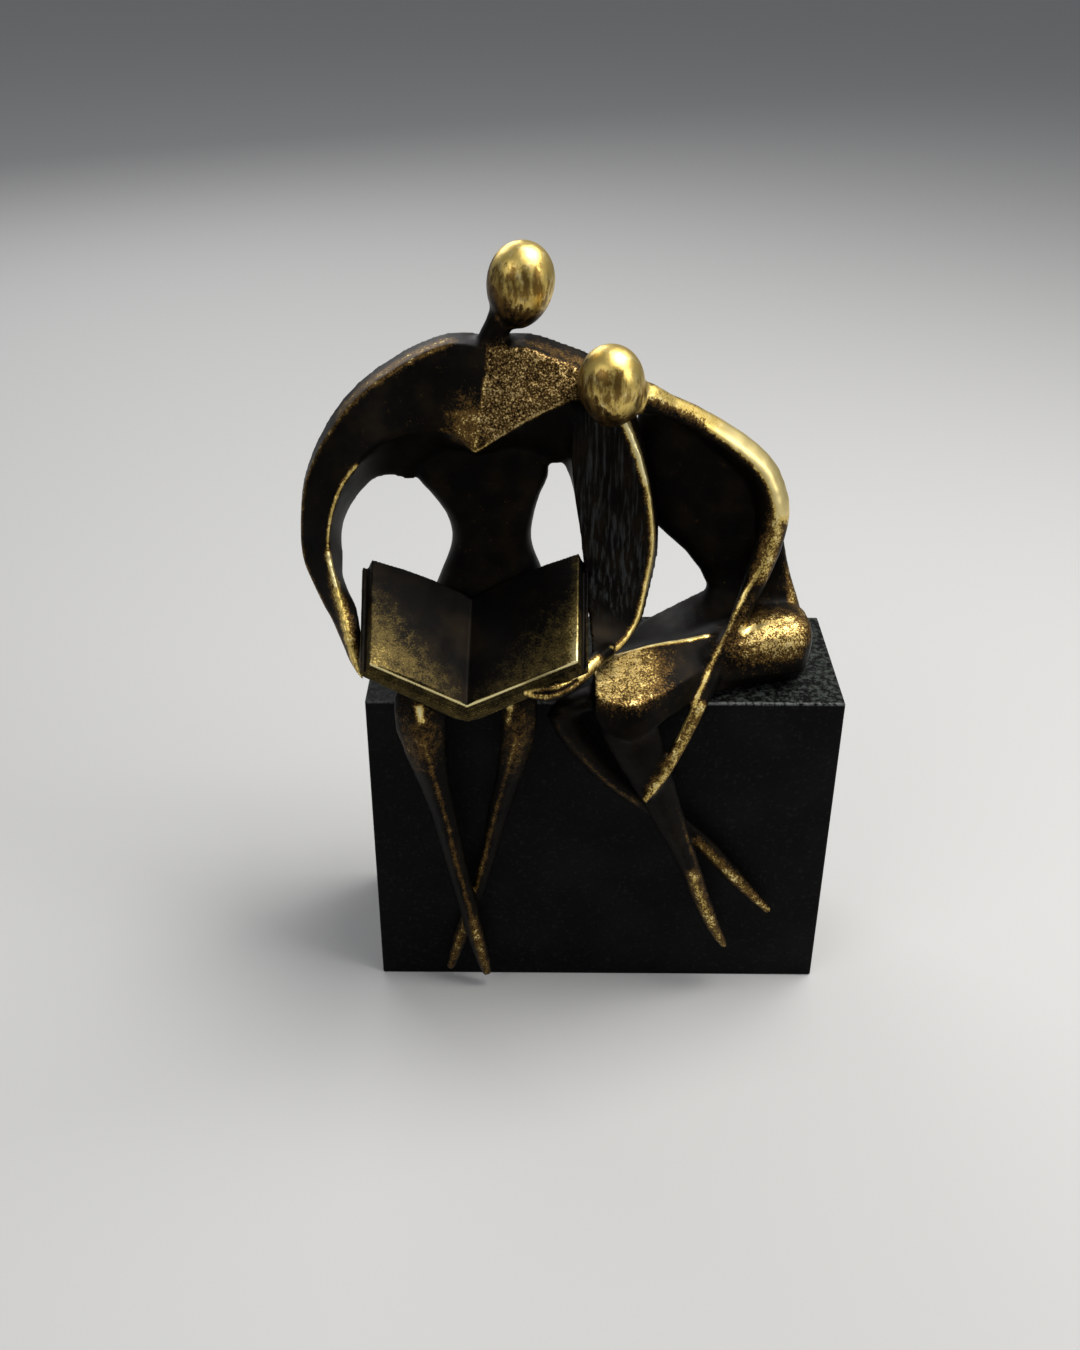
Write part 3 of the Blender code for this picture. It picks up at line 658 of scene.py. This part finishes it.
def cast_finish(name):
    """Dark patina with dry-brushed and rubbed gold, for the two figures, with painted highlights and
    painted shade carried in its masks.
    """
    f = Finish(name)
    gild = f.mask("gild")
    burnish = f.mask("burnish")
    hollow = f.mask("hollow")
    hammered = f.mask("hammered")
    brushed = f.mask("brushed")
    speck = f.noise(0.6, 3.0, 0.65)
    blotch = f.noise(2.6, 4.0, 0.65)
    cloud = f.noise(9.0, 2.0, 0.5)
    streak = f.noise(1.1, 3.0, 0.6, (1, 2, 16))
    grain = f.noise(0.28, 2.0, 0.5)
    drip = f.noise(2.3, 3.0, 0.6, (1, 1, 3.2))

    # Noise breaks the masks up into specks: gold where the sum is high, brown just below that
    rubbed = gild + (blotch - 0.5) * (0.9 - 0.4 * burnish)
    rubbed = rubbed + (speck - 0.5) * (1.0 - 0.6 * burnish) - hollow * 0.45
    rubbed = rubbed + (drip - 0.5) * burnish * 1.3 + (speck - 0.52) * hammered * 1.1
    edge = f.mask("edge_wear") + (blotch - 0.5) * 0.9 + (speck - 0.5) * 0.8
    gold = f.band(rubbed, 0.52, 0.78).larger(f.band(edge, 0.62, 1.0) * 0.5)
    brown = f.band(rubbed, 0.16, 0.55)
    stroke = f.band(streak, 0.46, 0.70) * brushed

    dark = f.blend(f.band(cloud, 0.35, 0.7), PATINA, PATINA_WARM)
    dark = f.blend(stroke, dark, BRUSHED_GREY)
    tone = f.blend(brown, dark, BRONZE)
    # Pale gold where the gold mask is strongest: bare rubbed metal, and painted highlights on the
    # brightest ridges, knees, knuckles and the lit arm
    bare_gold_and_highlight = f.band(gild, 0.80, 1.0) * (1 - burnish) * 0.9
    leaf = f.blend((f.band(blotch, 0.50, 0.72) * 0.6).larger(bare_gold_and_highlight), GOLD, PALE_GOLD)
    leaf = f.blend(hammered * 0.85, leaf, TAN)
    # Heads: brown over the lower and left sides, partly stain, partly painted reflection and shade
    stain = f.band(f.mask("stain") + (drip - 0.5) * 1.6 + (speck - 0.5) * 0.3, 0.30, 0.72)
    leaf = f.blend(stain * burnish * 0.88, leaf, BROWN_STAIN_AND_SHADE)

    height = grain * 0.012 + (speck * 0.03 + gold * 0.02) * (1 - burnish)
    height = height + blotch * hammered * 0.25 + streak * brushed * 0.14 + drip * burnish * 0.10
    f.set(
        Base_Color=f.blend(gold, tone, leaf),
        Metallic=0.80 + 0.20 * gold,
        Roughness=0.42 - 0.08 * gold - 0.04 * burnish + 0.12 * speck,
        Specular_IOR_Level=0.15,
        Normal=f.relief(height),
    )
    return f.material


def book_finish():
    """The same patina and gold, with fine leaf lines along the page edges."""
    f = Finish("book_patina_gold")
    gild = f.mask("gild")
    fore_edge = f.mask("fore_edge")
    speck = f.noise(0.5, 3.0, 0.65)
    blotch = f.noise(2.6, 4.0, 0.65)
    cloud = f.noise(12.0, 2.0, 0.5)
    grain = f.noise(0.28, 2.0, 0.5)
    leaves = f.layers(f.mask("leaf") * LEAF_LINES) * fore_edge

    rubbed = gild + (blotch - 0.5) * 0.7 + (speck - 0.5) * 0.9
    rubbed = rubbed + (cloud - 0.5) * 0.3 - f.mask("hollow") * 0.4
    rubbed = rubbed + (leaves - 0.5 * fore_edge) * 0.8
    gold = f.band(rubbed, 0.52, 0.80)
    brown = f.band(rubbed, 0.14, 0.60)
    dark = f.blend(f.band(cloud, 0.4, 0.7), PATINA, PATINA_WARM)
    tone = f.blend(brown, dark, BOOK_BRONZE)
    leaf = f.blend(f.band(gild, 0.55, 1.0), DULL_GOLD, PALE_GOLD)
    f.set(
        Base_Color=f.blend(gold, tone, leaf),
        Metallic=0.80 + 0.20 * gold,
        Roughness=0.42 - 0.08 * gold + 0.12 * speck,
        Specular_IOR_Level=0.15,
        Normal=f.relief(grain * 0.012 + speck * 0.03 + gold * 0.02 + leaves * 0.22),
    )
    return f.material


def bench_finish():
    """Near-black satin coat with a granular top that carries painted sheen, and a painted highlight
    along the top front edge.
    """
    f = Finish("bench_black_satin")
    pebble = f.noise(0.9, 3.0, 0.65)
    fleck = f.noise(1.4, 4.0, 0.7)
    cloud = f.noise(24.0, 3.0, 0.5)
    fine = f.noise(0.3, 1.0, 0.5)
    height = f.along((0, 0, 1))
    forward = f.along((0, -1, 0))
    top = f.band(height, SEAT_HEIGHT - 0.0006, SEAT_HEIGHT - 0.0001)
    # A painted highlight along the top front edge, broken into flecks
    front_edge_highlight = f.band(height, SEAT_HEIGHT - 0.0011, SEAT_HEIGHT - 0.0003)
    front_edge_highlight = front_edge_highlight * f.band(forward, -FRONT_FACE - 0.0011, -FRONT_FACE)
    grey = f.band(fleck, 0.54, 0.70) * 0.7 + f.band(cloud, 0.4, 0.7) * 0.2
    colour = f.blend(grey, BENCH_BLACK, BENCH_GREY)
    # Lighter grey flecks on the top face: granular finish, lightened as a painted sheen from the light
    # above
    colour = f.blend(f.band(fleck, 0.44, 0.62) * top * 0.8, colour, BENCH_TOP_FLECK_AND_SHEEN)
    colour = f.blend(f.band(fleck, 0.36, 0.56) * front_edge_highlight * 0.7, colour, BENCH_EDGE_HIGHLIGHT)
    f.set(
        Base_Color=colour,
        Metallic=0.0,
        Roughness=0.46 + 0.16 * pebble,
        Specular_IOR_Level=0.06,
        Normal=f.relief(pebble * 0.10 + fine * 0.02),
    )
    return f.material


def paint(piece, material):
    piece.data.materials.clear()
    piece.data.materials.append(material)


def dress(piece, material, node):
    paint(piece, material)
    make_active(piece)
    bpy.ops.object.shade_smooth()
    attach(piece, "root")
    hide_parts(node)


dress(reader, cast_finish("reader_patina_gold"), "reader_figure")
dress(leaning, cast_finish("leaning_patina_gold"), "leaning_figure")
dress(book, book_finish(), "open_book")
paint(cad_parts["bench_block"], bench_finish())

# Floor
bpy.ops.object.select_all(action="DESELECT")
bpy.ops.mesh.primitive_plane_add(size=9.0, location=(0, 0, 0))
floor = bpy.context.object
floor.name = "floor"
floor_finish = Finish("pale_floor")
floor_finish.set(Base_Color=(0.44, 0.44, 0.435, 1), Roughness=0.9)
paint(floor, floor_finish.material)

# Soft studio light
world = bpy.data.worlds.new("studio")
bpy.context.scene.world = world
world.use_nodes = True
background = world.node_tree.nodes["Background"]
background.inputs["Color"].default_value = (0.80, 0.83, 0.88, 1)
background.inputs["Strength"].default_value = 0.28


def softbox(name, place, aim, width, height, power, colour=(1, 1, 1)):
    bpy.ops.object.light_add(type="AREA", location=place)
    lamp = bpy.context.object
    lamp.name = name
    lamp.rotation_euler = (Vector(aim) - Vector(place)).to_track_quat("-Z", "Y").to_euler()
    lamp.data.shape = "RECTANGLE"
    lamp.data.size = width
    lamp.data.size_y = height
    lamp.data.energy = power
    lamp.data.color = colour


warm_white = (1.0, 0.98, 0.95)
softbox("overhead", (0.36, 0.05, 0.98), (0, 0, 0.15), 0.75, 0.60, power=14.0, colour=warm_white)
softbox("front_left", (-0.80, -0.90, 1.00), (0, 0, 0.12), 0.90, 0.60, power=4.5)
softbox("back_left", (-0.45, 0.95, 0.75), (0, 0, 0.15), 0.80, 0.50, power=4.5)
softbox("right_side", (0.95, -0.45, 0.60), (0, 0, 0.15), 0.30, 0.60, power=3.0)

# Camera at the photo's angle: 31 degrees down, almost straight in front
pitch = math.radians(31.03)
yaw = math.radians(-0.176)
roll = math.radians(0.25)
turn = Matrix.Rotation(-yaw, 4, "Z")
turn = turn @ Matrix.Rotation(math.pi / 2 - pitch, 4, "X")
turn = turn @ Matrix.Rotation(roll, 4, "Z")
bpy.ops.object.camera_add(location=(-0.01944, -0.41652, 0.35741))
camera = bpy.context.object
camera.rotation_euler = turn.to_euler()
camera.data.sensor_fit = "VERTICAL"
camera.data.sensor_height = 36.0
camera.data.lens = 38.67
camera.data.clip_start = 0.01
bpy.context.scene.camera = camera
bpy.context.scene.view_settings.view_transform = "Standard"
